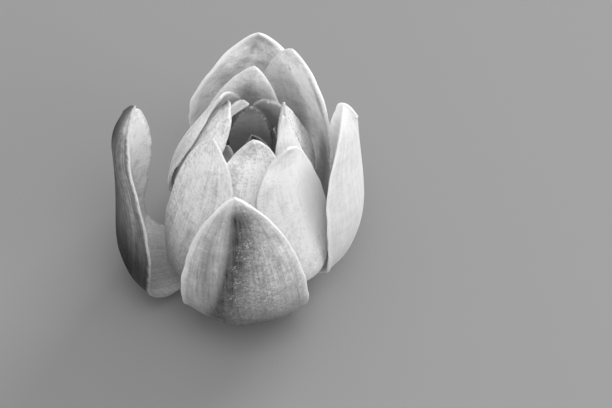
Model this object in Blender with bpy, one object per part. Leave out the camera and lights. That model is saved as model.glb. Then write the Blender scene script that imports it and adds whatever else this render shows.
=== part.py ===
"""A water lily flower, half open, picked with a flush cut just under its receptacle.

Four broad sepals stand outside, then petals in whorls that close towards the flower's axis, with a
ring of stamens and a stigma disc inside. It stands upright on the flush cut, at height 0. The
dimensions are in millimetres and degrees. Azimuth 0 is the front, 90 is the flower's right-hand side
and 180 is its back. The flower's axis is the vertical line through the middle of the cut.
"""

import bmesh
import bpy
import numpy as np

# Driving dimensions, millimetres and degrees.

MM = 0.001
BLADE_THICKNESS = 0.7
TIP_HALF_WIDTH = 0.4

# The bud is four-cornered low down: the corners stand between the sepals.
CORNER_DEPTH = 0.11
CORNER_HEIGHT = 12.0
CORNER_REACH = 16.0

# A petal is never cupped more tightly than this radius.
TIGHTEST_CUP = 6.0

# From this share of its length on, a hooked blade bends towards the flower's axis.
HOOK_START = 0.84

# Every whorl starts at its own height on the receptacle: foot radius, foot height, then the angle
# above level at which its blades leave the receptacle.
SEPAL_FOOT = (6.2, 4.0)
OUTER_FOOT = (5.8, 6.5)
MIDDLE_FOOT = (5.6, 9.0)
INNER_FOOT = (5.4, 11.0)
HEART_FOOT = (5.2, 13.5)

# The receptacle steps in behind every whorl's feet. The blades' end faces lean more from whorl to
# whorl, so each seat is a little further back, and every foot stands about 0.3 clear of it.
STEM_RADIUS = 5.4
SEPAL_SEAT = 5.85
OUTER_SEAT = 5.35
MIDDLE_SEAT = 5.05
INNER_SEAT = 4.8
HEART_SEAT = 4.55
OVARY_RADIUS = 3.8
RECEPTACLE_SIDES = 24

STAMENS_PER_ROW = 9
STAMEN_WIDTH = 1.4
STAMEN_THICKNESS = 0.9
COLLAR_INNER = 4.3
COLLAR_OUTER = 5.2
COLLAR_LOW = 14.8
COLLAR_HIGH = 16.0

STIGMA_RAYS = 12

# Materials: the greys of the flower, each a colour and a roughness.

FINISHES = {
    "sepal": ((0.46, 0.46, 0.46), 0.48),
    "petal": ((0.72, 0.72, 0.72), 0.52),
    "receptacle": ((0.22, 0.22, 0.22), 0.60),
    "stamen": ((0.50, 0.50, 0.50), 0.62),
    "stigma": ((0.40, 0.40, 0.40), 0.55),
}


def make_material(name):
    """A plain material with one colour and one roughness."""
    colour, roughness = FINISHES[name]
    material = bpy.data.materials.new(name)
    material.use_nodes = True
    shader = material.node_tree.nodes["Principled BSDF"]
    shader.inputs["Base Color"].default_value = (*colour, 1.0)
    shader.inputs["Roughness"].default_value = roughness
    shader.inputs["Metallic"].default_value = 0.0
    material.diffuse_color = (*colour, 1.0)
    return material


def add_solid(name, points, faces, material):
    """Turns points in millimetres and faces into a named object, with every face turned outwards."""
    mesh = bpy.data.meshes.new(name)
    mesh.from_pydata((np.asarray(points) * MM).tolist(), [], faces)
    body = bmesh.new()
    body.from_mesh(mesh)
    bmesh.ops.recalc_face_normals(body, faces=body.faces)
    body.to_mesh(mesh)
    body.free()
    mesh.materials.append(material)
    thing = bpy.data.objects.new(name, mesh)
    bpy.context.scene.collection.objects.link(thing)
    return thing


def corner_factor(angle, height):
    """How much wider or narrower the bud is at this angle and height, because of its four corners."""
    fade = np.exp(-((height - CORNER_HEIGHT) / CORNER_REACH) ** 2)
    return 1 + CORNER_DEPTH * np.cos(4 * (angle - np.pi / 4)) * fade


# Petals and sepals.


def midline(foot, leave, tip, arrive, stations):
    """Radius and height along the midrib: a cubic curve read at equal steps of its own length.

    It leaves the foot and arrives at the tip in a direction (degrees above level, 90 is upright and
    more leans inwards) with a pull (millimetres) that sets how far it keeps to that direction.
    """
    start = np.array(foot)
    end = np.array(tip)
    out_angle, out_pull = np.radians(leave[0]), leave[1]
    in_angle, in_pull = np.radians(arrive[0]), arrive[1]
    first = start + out_pull * np.array([np.cos(out_angle), np.sin(out_angle)])
    second = end - in_pull * np.array([np.cos(in_angle), np.sin(in_angle)])
    t = np.linspace(0, 1, 300)[:, None]
    curve = (1 - t) ** 3 * start + 3 * t * (1 - t) ** 2 * first
    curve = curve + 3 * t * t * (1 - t) * second + t**3 * end
    steps = np.hypot(*np.diff(curve, axis=0).T)
    travelled = np.concatenate([[0], np.cumsum(steps)])
    wanted = stations * travelled[-1]
    return np.interp(wanted, travelled, curve[:, 0]), np.interp(wanted, travelled, curve[:, 1])


def half_width(u, width, claw, widest, point):
    """Half the blade's width: a narrow claw at the foot, the widest place, then a pointed tip."""
    rise = claw + (1 - claw) * np.sin(np.pi / 2 * np.clip(u / widest, 0, 1))
    fall = (1 - np.clip((u - widest) / (1 - widest), 0, 1) ** 2) ** point
    return np.maximum(0.5 * width * rise * fall, TIP_HALF_WIDTH)


def blade_surface(rows, columns, azimuth, foot, leave, tip, arrive, width, widest, claw, point,
                  cup=None, tightest=TIGHTEST_CUP, swing=0.0, lean=0.0, tuck=0.0, hook=0.0):
    """The blade's middle surface, a grid of points from foot to tip and from margin to margin.

    The section is an arc. A petal hugs the flower's axis, while a sepal has a cup radius of its own
    at the root, the middle and the tip. Swing turns the tip about the axis, lean shifts it sideways
    and tuck lets one margin stand out while the other is tucked in. Hook is how far the last part
    of the blade bends inwards, so that a blunt, hooded tip results.
    """
    u = 1 - (1 - np.linspace(0, 1, rows)) ** 1.6
    across = np.linspace(-1, 1, columns)
    radius, height = midline(foot, leave, tip, arrive, u)
    half = half_width(u, width, claw, widest, point)
    u = u[:, None]
    radius, height, half = radius[:, None], height[:, None], half[:, None]
    if cup is None:
        arc = np.maximum(radius, tightest)
    else:
        root, middle, end = cup
        arc = root * (1 - u) * (1 - 2 * u) + 4 * middle * u * (1 - u) + end * u * (2 * u - 1)
    radius = radius - hook * np.clip((u - HOOK_START) / (1 - HOOK_START), 0, 1) ** 2
    turn = np.radians(azimuth + swing * u**2)
    bend = across * half / arc
    side = arc + tuck * across * np.sin(np.pi * u)
    outward = radius - arc + side * np.cos(bend)
    sideways = side * np.sin(bend) + lean * u**2
    x = outward * np.sin(turn) + sideways * np.cos(turn)
    y = -outward * np.cos(turn) + sideways * np.sin(turn)
    z = np.broadcast_to(height, x.shape)
    if cup is None:
        factor = corner_factor(np.arctan2(x, -y), z)
        x = x * factor
        y = y * factor
    return np.stack([x, y, z], axis=-1)


def blade(name, material, rows, columns, **shape):
    """A blade of even thickness: the middle surface is offset both ways and closed at its rim."""
    middle = blade_surface(rows, columns, **shape)
    along = np.gradient(middle, axis=0)
    over = np.gradient(middle, axis=1)
    normal = np.cross(along, over)
    normal = normal / np.linalg.norm(normal, axis=-1, keepdims=True)
    inner = (middle + normal * BLADE_THICKNESS / 2).reshape(-1, 3)
    outer = (middle - normal * BLADE_THICKNESS / 2).reshape(-1, 3)
    count = rows * columns
    index = np.arange(count).reshape(rows, columns)
    faces = []
    for i in range(rows - 1):
        for j in range(columns - 1):
            a, b = int(index[i, j]), int(index[i + 1, j])
            c, d = int(index[i + 1, j + 1]), int(index[i, j + 1])
            faces += [(a, b, c), (a, c, d)]
            faces += [(a + count, c + count, b + count), (a + count, d + count, c + count)]
    rim = np.concatenate([index[0, :], index[1:, -1], index[-1, -2::-1], index[-2:0:-1, 0]])
    rim = [int(k) for k in rim]
    for here, after in zip(rim, rim[1:] + rim[:1]):
        faces += [(here, after, after + count), (here, after + count, here + count)]
    return add_solid(name, np.concatenate([inner, outer]), faces, material)


def sepal(name, **shape):
    """A sepal: broad, with its own cup, rooted lowest on the receptacle."""
    return blade(name, SEPAL, 15, 9, foot=SEPAL_FOOT, **shape)


def outer_petal(name, **shape):
    """A petal of the outer whorl."""
    return blade(name, PETAL, 13, 9, foot=OUTER_FOOT, **shape)


def middle_petal(name, **shape):
    """A petal of the middle whorl."""
    return blade(name, PETAL, 13, 7, foot=MIDDLE_FOOT, **shape)


def inner_petal(name, **shape):
    """A petal of the inner whorl."""
    return blade(name, PETAL, 12, 7, foot=INNER_FOOT, claw=0.35, **shape)


def heart_petal(name, **shape):
    """A small petal of the innermost whorl, round the stamens."""
    return blade(name, PETAL, 10, 5, foot=HEART_FOOT, claw=0.35, widest=0.55, point=0.7, **shape)


# Receptacle, stigma and stamens.


def turned_solid(name, profile, sides, material, shape):
    """A closed solid of rings round the axis, listed from the bottom up and capped at both ends."""
    angles = np.arange(sides) * 2 * np.pi / sides
    points = []
    for radius, height in profile:
        reach = radius * shape(angles, height)
        ring = np.stack([reach * np.sin(angles), -reach * np.cos(angles)], axis=-1)
        points.append(np.column_stack([ring, np.full(sides, height)]))
    faces = [tuple(range(sides))]
    for i in range(len(profile) - 1):
        for j in range(sides):
            a = i * sides + j
            b = i * sides + (j + 1) % sides
            faces.append((a, b, b + sides, a + sides))
    last = (len(profile) - 1) * sides
    faces.append(tuple(range(last, last + sides)))
    return add_solid(name, np.concatenate(points), faces, material)


def receptacle_section(angle, height):
    """Round where the stem and the sepals are, four-cornered like the bud above them."""
    share = np.clip((height - 4.5) / 1.4, 0, 1)
    return 1 + share * (corner_factor(angle, height) - 1)


def ray_section(angle, height):
    """Shallow rays round the stigma's rim."""
    return 1 + 0.06 * np.cos(STIGMA_RAYS * angle)


def stamen_collar(name, material):
    """The low collar that every stamen's root is sunk in, a closed ring round the ovary."""
    sides = 32
    angles = np.arange(sides) * 2 * np.pi / sides
    corners = [(COLLAR_INNER, COLLAR_LOW), (COLLAR_OUTER, COLLAR_LOW),
               (COLLAR_OUTER, COLLAR_HIGH), (COLLAR_INNER, COLLAR_HIGH)]
    points = []
    for radius, height in corners:
        reach = radius * corner_factor(angles, height)
        ring = np.stack([reach * np.sin(angles), -reach * np.cos(angles)], axis=-1)
        points.append(np.column_stack([ring, np.full(sides, height)]))
    faces = []
    for i in range(4):
        for j in range(sides):
            a = i * sides + j
            b = i * sides + (j + 1) % sides
            c = (i + 1) % 4 * sides + (j + 1) % sides
            d = (i + 1) % 4 * sides + j
            faces.append((a, b, c, d))
    return add_solid(name, np.concatenate(points), faces, material)


def stamen(name, azimuth, foot_radius, tip_radius, tip_height, material):
    """A flat strap that widens a little, then narrows to its anther and curls towards the axis."""
    t = np.linspace(0, 1, 6)
    radius = foot_radius + (tip_radius - foot_radius) * t**2 + 0.8 * np.sin(np.pi * t)
    height = 15.3 + (tip_height - 15.3) * t
    half = 0.5 * STAMEN_WIDTH * (1 - 0.35 * t**3)
    turn = np.radians(azimuth)
    factor = corner_factor(turn, 15.3)
    rings = []
    for side, depth in ((-1, -1), (1, -1), (1, 1), (-1, 1)):
        reach = radius * factor + depth * STAMEN_THICKNESS / 2
        x = reach * np.sin(turn) + side * half * np.cos(turn)
        y = -reach * np.cos(turn) + side * half * np.sin(turn)
        rings.append(np.stack([x, y, height], axis=-1))
    points = np.stack(rings, axis=1).reshape(-1, 3)
    faces = [(0, 1, 2, 3), (20, 21, 22, 23)]
    for i in range(5):
        for j in range(4):
            a = 4 * i + j
            b = 4 * i + (j + 1) % 4
            faces.append((a, b, b + 4, a + 4))
    return add_solid(name, points, faces, material)


def make_stamens(material):
    """Two staggered rows of stamens, fused with the collar they are rooted in."""
    collar = stamen_collar("stamens", material)
    straps = bpy.data.collections.new("stamen straps")
    bpy.context.scene.collection.children.link(straps)
    random = np.random.default_rng(7)
    step = 360 / STAMENS_PER_ROW
    for i in range(STAMENS_PER_ROW):
        outer = stamen("outer strap", i * step, 4.9, 4.1, random.uniform(32, 35), material)
        inner = stamen("inner strap", (i + 0.5) * step, 4.8, 3.2, random.uniform(27, 30), material)
        for strap in (outer, inner):
            bpy.context.scene.collection.objects.unlink(strap)
            straps.objects.link(strap)
    join = collar.modifiers.new("fuse the stamens", "BOOLEAN")
    join.operation = "UNION"
    join.operand_type = "COLLECTION"
    join.collection = straps
    join.solver = "EXACT"
    bpy.context.view_layer.objects.active = collar
    bpy.ops.object.modifier_apply(modifier=join.name)
    for strap in list(straps.objects):
        bpy.data.objects.remove(strap, do_unlink=True)
    bpy.data.collections.remove(straps)
    return collar


# The flower.

for old in list(bpy.data.objects):
    bpy.data.objects.remove(old, do_unlink=True)

SEPAL = make_material("sepal")
PETAL = make_material("petal")
RECEPTACLE = make_material("receptacle")
STAMEN = make_material("stamen")
STIGMA = make_material("stigma")

# The stem's stub, the seats of the whorls and the ovary's dome are one turned body.
turned_solid(
    "receptacle",
    [
        (STEM_RADIUS, 0.0),
        (STEM_RADIUS, 2.2),
        (SEPAL_SEAT, 3.3),
        (SEPAL_SEAT, 4.5),
        (OUTER_SEAT, 5.9),
        (OUTER_SEAT, 7.0),
        (MIDDLE_SEAT, 8.5),
        (MIDDLE_SEAT, 9.6),
        (INNER_SEAT, 10.5),
        (INNER_SEAT, 11.6),
        (HEART_SEAT, 12.9),
        (HEART_SEAT, 14.4),
        (OVARY_RADIUS, 14.6),
        (OVARY_RADIUS, 16.0),
        (3.4, 17.3),
        (2.6, 18.2),
        (1.6, 18.6),
    ],
    RECEPTACLE_SIDES,
    RECEPTACLE,
    receptacle_section,
)

turned_solid(
    "stigma",
    [(1.5, 18.9), (2.4, 19.1), (3.0, 19.6), (3.1, 20.3), (2.6, 20.5), (1.6, 20.1), (0.8, 20.2), (0.6, 20.9)],
    STIGMA_RAYS * 2,
    STIGMA,
    ray_section,
)

make_stamens(STAMEN)

# The sepals stand apart from the bud and curve up, the back one against it. The two at the sides
# are twisted, and their tips are hooded.
sepal("sepal_front", azimuth=0, leave=(5, 29), tip=(18.4, 53.2), arrive=(109, 24),
      width=27, widest=0.42, claw=0.25, point=0.76, cup=(7, 17.5, 12), swing=3, lean=-2.8)
sepal("sepal_right", azimuth=92.5, leave=(-4, 25), tip=(21.0, 59.0), arrive=(88.5, 27),
      width=30.2, widest=0.42, claw=0.18, point=0.75, cup=(7, 15, 4.5), swing=-18, lean=3,
      tuck=-0.5, hook=2.5)
sepal("sepal_back", azimuth=179, leave=(5, 28), tip=(18.0, 53.6), arrive=(91, 25),
      width=29.5, widest=0.53, claw=0.22, point=0.80, cup=(7, 15, 8), swing=-2.6, lean=-1.4)
sepal("sepal_left", azimuth=-76, leave=(-4, 31.5), tip=(25.8, 56.0), arrive=(84, 40),
      width=26.5, widest=0.53, claw=0.18, point=0.66, cup=(7, 13, 4.5), swing=-22, lean=3,
      tuck=2.2, hook=5.4)

# The outer whorl fills the corners between the sepals, with one more petal at the back.
outer_petal("outer_petal_front_left", azimuth=-49, leave=(4, 24.5), tip=(9.3, 55.5), arrive=(88, 18),
            width=16, widest=0.54, claw=0.28, point=0.90, swing=10)
outer_petal("outer_petal_front_right", azimuth=44, leave=(4, 24.5), tip=(12.2, 55.0), arrive=(73, 18),
            width=18.5, widest=0.40, claw=0.28, point=0.71, swing=-2, tuck=0.3)
outer_petal("outer_petal_back_right", azimuth=130, leave=(3, 17.5), tip=(16.8, 53.5), arrive=(88, 21),
            width=22, widest=0.47, claw=0.22, point=0.77, swing=18, tuck=0.2)
outer_petal("outer_petal_back", azimuth=185, leave=(9, 20), tip=(10.6, 53.2), arrive=(90, 18),
            width=16.5, widest=0.47, claw=0.22, point=0.76, swing=-14, tuck=1.2)

middle_petal("middle_petal_front", azimuth=-5, leave=(12, 15.5), tip=(6.8, 54.2), arrive=(106, 18.5),
             width=17.5, widest=0.47, claw=0.30, point=0.68, swing=19)
middle_petal("middle_petal_front_right", azimuth=54, leave=(12, 18), tip=(7.4, 55.0), arrive=(90, 17),
             width=10.6, widest=0.41, claw=0.30, point=0.77, swing=14.5, lean=1, tuck=0.8)
middle_petal("middle_petal_back_left", azimuth=-134, leave=(12, 17.5), tip=(6.1, 52.1), arrive=(115, 20),
             width=22, widest=0.49, claw=0.22, point=0.82, swing=13, lean=-1.2, tuck=1.2)
middle_petal("middle_petal_left", azimuth=-73.5, leave=(14, 19.5), tip=(2.8, 54.3), arrive=(118.5, 19),
             width=13, widest=0.51, claw=0.24, point=0.39, swing=-13, lean=-0.4, tuck=0.1)

# The inner whorl leans over the mouth, where one tip folds across as a flap.
inner_petal("inner_petal_right", azimuth=96.5, leave=(18, 18), tip=(7.4, 55.4), arrive=(79, 12),
            width=13.7, widest=0.39, point=1.0, swing=-9.5, lean=1.3, tuck=2.2)
inner_petal("inner_petal_back_right", azimuth=162, leave=(16, 8.6), tip=(6.7, 48.6), arrive=(129, 9.8),
            width=10.4, widest=0.50, point=0.95, swing=-9, lean=-1.3, tuck=-1, tightest=12)
inner_petal("inner_petal_back_left", azimuth=-117, leave=(18, 10), tip=(0.2, 54.0), arrive=(136, 15),
            width=10, widest=0.53, point=0.80, swing=-4, lean=-1.6)
inner_petal("inner_petal_front_left", azimuth=-40, leave=(18, 12), tip=(5.0, 47.5), arrive=(113, 15),
            width=13.5, widest=0.52, point=0.70)

heart_petal("heart_petal_front", azimuth=16, leave=(25, 8), tip=(2.4, 48.4), arrive=(112, 14),
            width=10, swing=16)
heart_petal("heart_petal_right", azimuth=102, leave=(25, 8), tip=(6.0, 43.5), arrive=(105, 13),
            width=9, swing=10)
heart_petal("heart_petal_back", azimuth=178, leave=(22, 6.4), tip=(6.0, 45.7), arrive=(103.5, 12.6),
            width=9.2, swing=2, lean=-1)
heart_petal("heart_petal_left", azimuth=-84, leave=(25, 8), tip=(4.6, 44.0), arrive=(110, 13),
            width=10)
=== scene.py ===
# %% [markdown]
# # A half-open water lily flower
#
# The flower in this lesson is picked and stands on the flush cut of its stem. Four broad sepals
# stand round a bud of pointed petals that overlap like roof tiles and close towards a dark mouth.
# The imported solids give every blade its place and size. Here each one is made again as a finer
# blade with a rounded rim, veins and a grained skin, and keeps the form of the solid it stands for.

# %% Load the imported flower
import bmesh
import bpy
import numpy as np
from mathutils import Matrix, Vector


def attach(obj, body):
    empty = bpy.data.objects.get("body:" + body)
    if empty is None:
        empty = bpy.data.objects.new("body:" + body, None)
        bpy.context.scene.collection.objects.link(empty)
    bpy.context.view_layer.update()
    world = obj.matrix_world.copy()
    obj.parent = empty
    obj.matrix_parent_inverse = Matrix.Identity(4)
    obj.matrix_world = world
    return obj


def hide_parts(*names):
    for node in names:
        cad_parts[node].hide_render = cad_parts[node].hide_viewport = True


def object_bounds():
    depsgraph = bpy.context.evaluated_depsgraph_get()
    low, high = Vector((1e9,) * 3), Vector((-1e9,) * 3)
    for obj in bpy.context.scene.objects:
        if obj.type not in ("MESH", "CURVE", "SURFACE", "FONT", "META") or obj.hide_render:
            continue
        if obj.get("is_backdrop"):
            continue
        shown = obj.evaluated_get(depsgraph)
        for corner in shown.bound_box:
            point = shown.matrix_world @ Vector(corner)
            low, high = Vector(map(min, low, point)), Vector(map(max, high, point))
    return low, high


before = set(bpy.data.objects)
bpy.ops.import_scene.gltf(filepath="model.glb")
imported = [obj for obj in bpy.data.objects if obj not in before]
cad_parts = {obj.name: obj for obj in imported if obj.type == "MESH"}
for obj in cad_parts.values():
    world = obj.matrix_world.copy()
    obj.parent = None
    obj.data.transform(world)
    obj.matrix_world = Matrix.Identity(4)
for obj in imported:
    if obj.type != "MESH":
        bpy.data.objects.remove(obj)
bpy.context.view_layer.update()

MM = 0.001

# %% [markdown]
# ## Camera, floor and light
#
# The picture looks down on the flower at 60 degrees, from the front sepal's side. A long lens from
# 0.6 m away gives its nearly parallel lines. The floor is plain and pale, and the light is that of
# a bright overcast day. An even sky and a soft lamp overhead reach down between the blades. A lamp
# at the right gives the cupped forms a light and a dark side. A strong one, behind and to the
# right, shines through the thin petals, whose shaded faces then glow.

# %% Camera
TARGET = Vector((11.6, 0.0, 18.6)) * MM
ELEVATION = np.radians(60)
DISTANCE = 0.6
SENSOR_WIDTH = 36.0
WIDTH_AT_FLOWER = 122.4 * MM
camera_data = bpy.data.cameras.new("camera")
camera_data.sensor_width = SENSOR_WIDTH
camera_data.lens = SENSOR_WIDTH * DISTANCE / WIDTH_AT_FLOWER
camera_data.clip_start = 0.01
camera = bpy.data.objects.new("camera", camera_data)
back = Vector((0.0, -np.cos(ELEVATION), np.sin(ELEVATION)))
camera.location = TARGET + DISTANCE * back
camera.rotation_euler = back.to_track_quat("Z", "Y").to_euler()
bpy.context.scene.collection.objects.link(camera)
bpy.context.scene.camera = camera
print("lens in mm:", round(camera_data.lens, 1))

# %% Floor and lamps
FLOOR_GREY = 0.19
SKY_STRENGTH = 0.82
FLOWER_MIDDLE = Vector((0, 0, 0.03))
scene = bpy.context.scene
scene.view_settings.view_transform = "Standard"


def new_material(name):
    """A material with nodes: itself, its tree of nodes and its shader."""
    material = bpy.data.materials.new(name)
    material.use_nodes = True
    return material, material.node_tree, material.node_tree.nodes["Principled BSDF"]


floor_material, tree, shader = new_material("floor")
shader.inputs["Base Color"].default_value = (FLOOR_GREY, FLOOR_GREY, FLOOR_GREY, 1)
shader.inputs["Roughness"].default_value = 0.8
floor_mesh = bpy.data.meshes.new("floor")
floor_mesh.from_pydata([(-3, -3, 0), (3, -3, 0), (3, 3, 0), (-3, 3, 0)], [], [(0, 1, 2, 3)])
floor_mesh.materials.append(floor_material)
floor = bpy.data.objects.new("floor", floor_mesh)
scene.collection.objects.link(floor)
floor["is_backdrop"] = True


def lamp(name, place, size, power):
    """A square area lamp at a place in metres, turned to the middle of the flower."""
    data = bpy.data.lights.new(name, "AREA")
    data.size = size
    data.energy = power
    thing = bpy.data.objects.new(name, data)
    thing.location = place
    thing.rotation_euler = (Vector(place) - FLOWER_MIDDLE).to_track_quat("Z", "Y").to_euler()
    scene.collection.objects.link(thing)


lamp("side lamp", (0.85, -0.45, 0.65), 0.45, 2.8)
lamp("top lamp", (0.1, -0.3, 1.1), 0.5, 5.5)
lamp("back lamp", (0.6, 0.66, 0.6), 0.5, 8.2)
world = bpy.data.worlds.new("studio")
world.use_nodes = True
sky = world.node_tree.nodes["Background"]
sky.inputs["Color"].default_value = (1, 1, 1, 1)
sky.inputs["Strength"].default_value = SKY_STRENGTH
scene.world = world

# %% [markdown]
# ## The form of a blade
#
# Every sepal and petal is one boat-shaped blade. Its midrib is a cubic curve in the plane through
# the flower's axis. Across it the blade is an arc: a petal hugs the axis, and a sepal has a cup of
# its own. The half width rises from a narrow claw to the widest place and falls to the tip. The
# numbers are those of the solids, so the finer blade lies where the solid lies.

# %% Midrib and width
LEAST_HALF_WIDTH = 0.4


def along_path(points, shares):
    """Radius and height of a path at these shares of its length."""
    travelled = np.concatenate([[0], np.cumsum(np.hypot(*np.diff(points, axis=0).T))])
    return [np.interp(shares * travelled[-1], travelled, points[:, k]) for k in (0, 1)]


def midrib(shape, u):
    """Radius and height at the share u of the midrib's length.

    The curve is a cubic Bezier from foot to tip. Its two inner points lie along the leaving and
    arriving directions, at the given pulls. It is read at equal steps of its own length.
    """
    start, end = np.array(shape["foot"]), np.array(shape["tip"])
    leave, arrive = np.radians(shape["leave"][0]), np.radians(shape["arrive"][0])
    first = start + shape["leave"][1] * np.array([np.cos(leave), np.sin(leave)])
    second = end - shape["arrive"][1] * np.array([np.cos(arrive), np.sin(arrive)])
    t = np.linspace(0, 1, 4000)[:, None]
    curve = (1 - t) ** 3 * start + 3 * t * (1 - t) ** 2 * first
    curve = curve + 3 * t * t * (1 - t) * second + t**3 * end
    return along_path(curve, u)


def half_width(shape, u):
    """A sine from the claw to the widest place, then one minus the square, to a power."""
    widest = shape["widest"]
    rise = shape["claw"] + (1 - shape["claw"]) * np.sin(np.pi / 2 * np.clip(u / widest, 0, 1))
    fall = (1 - np.clip((u - widest) / (1 - widest), 0, 1) ** 2) ** shape["point"]
    return np.maximum(0.5 * shape["width"] * rise * fall, LEAST_HALF_WIDTH)


# %% The middle surface
CORNER_DEPTH = 0.11
CORNER_HEIGHT = 12.0
CORNER_REACH = 16.0
HOOK_START = 0.84


def corner_factor(angle, height):
    """How much wider the bud is at this angle, for its four corners at this height."""
    fade = np.exp(-(((height - CORNER_HEIGHT) / CORNER_REACH) ** 2))
    return 1 + CORNER_DEPTH * np.cos(4 * (angle - np.pi / 4)) * fade


def turned(outward, sideways, height, turn):
    """Points at these distances outward and sideways, turned round the axis by an angle."""
    x = outward * np.sin(turn) + sideways * np.cos(turn)
    y = -outward * np.cos(turn) + sideways * np.sin(turn)
    return np.stack(np.broadcast_arrays(x, y, height), axis=-1)


def middle_surface(shape, u, across):
    """Points of the blade's middle surface, in millimetres, for shares u and across from -1 to 1.

    A point lies on an arc round a centre on the midrib's inner side, turned to the blade's azimuth
    plus its swing times u squared. The last part of a hooked blade bends inwards by the square of
    the way past the hook's start. A petal is then pushed in or out by the bud's four corners.
    """
    radius, height = midrib(shape, u)
    half = half_width(shape, u)
    if "cup" in shape:
        root, mid, end = shape["cup"]
        arc = root * (1 - u) * (1 - 2 * u) + 4 * mid * u * (1 - u) + end * u * (2 * u - 1)
    else:
        arc = np.maximum(radius, shape.get("tightest", 6.0))
    hooked = np.clip((u - HOOK_START) / (1 - HOOK_START), 0, 1) ** 2
    radius = radius - shape.get("hook", 0.0) * hooked
    turn = np.radians(shape["azimuth"] + shape.get("swing", 0.0) * u**2)
    bend = across * half / arc
    side = arc + shape.get("tuck", 0.0) * across * np.sin(np.pi * u)
    outward = radius - arc + side * np.cos(bend)
    sideways = side * np.sin(bend) + shape.get("lean", 0.0) * u**2
    points = turned(outward, sideways, height, turn)
    if "cup" not in shape:
        angle = np.arctan2(points[..., 0], -points[..., 1])
        points[..., :2] *= corner_factor(angle, height)[..., None]
    return points


# %% [markdown]
# ## The blades' sizes
#
# Each whorl shares its foot on the receptacle. A blade's own values are its azimuth, where its tip
# stands, how it leaves and arrives, and how wide and how pointed it is.

# %% Sizes of the sepals and petals
FEET = {
    "sepal": dict(foot=(6.2, 4.0)),
    "outer": dict(foot=(5.8, 6.5)),
    "middle": dict(foot=(5.6, 9.0)),
    "inner": dict(foot=(5.4, 11.0), claw=0.35),
    "heart": dict(foot=(5.2, 13.5), claw=0.35, widest=0.55, point=0.7),
}
SHAPES = {
    "sepal_front": dict(
        azimuth=0, leave=(5, 29), tip=(18.4, 53.2), arrive=(109, 24), width=27, widest=0.42,
        claw=0.25, point=0.76, cup=(7, 17.5, 12), swing=3, lean=-2.8),
    "sepal_right": dict(
        azimuth=92.5, leave=(-4, 25), tip=(21, 59), arrive=(88.5, 27), width=30.2, widest=0.42,
        claw=0.18, point=0.75, cup=(7, 15, 4.5), swing=-18, lean=3, tuck=-0.5, hook=2.5),
    "sepal_back": dict(
        azimuth=179, leave=(5, 28), tip=(18, 53.6), arrive=(91, 25), width=29.5, widest=0.53,
        claw=0.22, point=0.8, cup=(7, 15, 8), swing=-2.6, lean=-1.4),
    "sepal_left": dict(
        azimuth=-76, leave=(-4, 31.5), tip=(25.8, 56), arrive=(84, 40), width=26.5, widest=0.53,
        claw=0.18, point=0.66, cup=(7, 13, 4.5), swing=-22, lean=3, tuck=2.2, hook=5.4),
    "outer_petal_front_left": dict(
        azimuth=-49, leave=(4, 24.5), tip=(9.3, 55.5), arrive=(88, 18), width=16, widest=0.54,
        claw=0.28, point=0.9, swing=10),
    "outer_petal_front_right": dict(
        azimuth=44, leave=(4, 24.5), tip=(12.2, 55), arrive=(73, 18), width=18.5, widest=0.4,
        claw=0.28, point=0.71, swing=-2, tuck=0.3),
    "outer_petal_back_right": dict(
        azimuth=130, leave=(3, 17.5), tip=(16.8, 53.5), arrive=(88, 21), width=22, widest=0.47,
        claw=0.22, point=0.77, swing=18, tuck=0.2),
    "outer_petal_back": dict(
        azimuth=185, leave=(9, 20), tip=(10.6, 53.2), arrive=(90, 18), width=16.5, widest=0.47,
        claw=0.22, point=0.76, swing=-14, tuck=1.2),
    "middle_petal_front": dict(
        azimuth=-5, leave=(12, 15.5), tip=(6.8, 54.2), arrive=(106, 18.5), width=17.5, widest=0.47,
        claw=0.3, point=0.68, swing=19),
    "middle_petal_front_right": dict(
        azimuth=54, leave=(12, 18), tip=(7.4, 55), arrive=(90, 17), width=10.6, widest=0.41,
        claw=0.3, point=0.77, swing=14.5, lean=1, tuck=0.8),
    "middle_petal_back_left": dict(
        azimuth=-134, leave=(12, 17.5), tip=(6.1, 52.1), arrive=(115, 20), width=22, widest=0.49,
        claw=0.22, point=0.82, swing=13, lean=-1.2, tuck=1.2),
    "middle_petal_left": dict(
        azimuth=-73.5, leave=(14, 19.5), tip=(2.8, 54.3), arrive=(118.5, 19), width=13, widest=0.51,
        claw=0.24, point=0.39, swing=-13, lean=-0.4, tuck=0.1),
    "inner_petal_right": dict(
        azimuth=96.5, leave=(18, 18), tip=(7.4, 55.4), arrive=(79, 12), width=13.7, widest=0.39,
        point=1, swing=-9.5, lean=1.3, tuck=2.2),
    "inner_petal_back_right": dict(
        azimuth=162, leave=(16, 8.6), tip=(6.7, 48.6), arrive=(129, 9.8), width=10.4, widest=0.5,
        point=0.95, swing=-9, lean=-1.3, tuck=-1, tightest=12),
    "inner_petal_back_left": dict(
        azimuth=-117, leave=(18, 10), tip=(0.2, 54), arrive=(136, 15), width=10, widest=0.53,
        point=0.8, swing=-4, lean=-1.6),
    "inner_petal_front_left": dict(
        azimuth=-40, leave=(18, 12), tip=(5, 47.5), arrive=(113, 15), width=13.5, widest=0.52,
        point=0.7),
    "heart_petal_front": dict(
        azimuth=16, leave=(25, 8), tip=(2.4, 48.4), arrive=(112, 14), width=10, swing=16),
    "heart_petal_right": dict(
        azimuth=102, leave=(25, 8), tip=(6, 43.5), arrive=(105, 13), width=9, swing=10),
    "heart_petal_back": dict(
        azimuth=178, leave=(22, 6.4), tip=(6, 45.7), arrive=(103.5, 12.6), width=9.2, swing=2,
        lean=-1),
    "heart_petal_left": dict(
        azimuth=-84, leave=(25, 8), tip=(4.6, 44), arrive=(110, 13), width=10),
}
for name, shape in SHAPES.items():
    shape.update({k: v for k, v in FEET[name.split("_")[0]].items() if k not in shape})
print("blades:", len(SHAPES))

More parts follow.
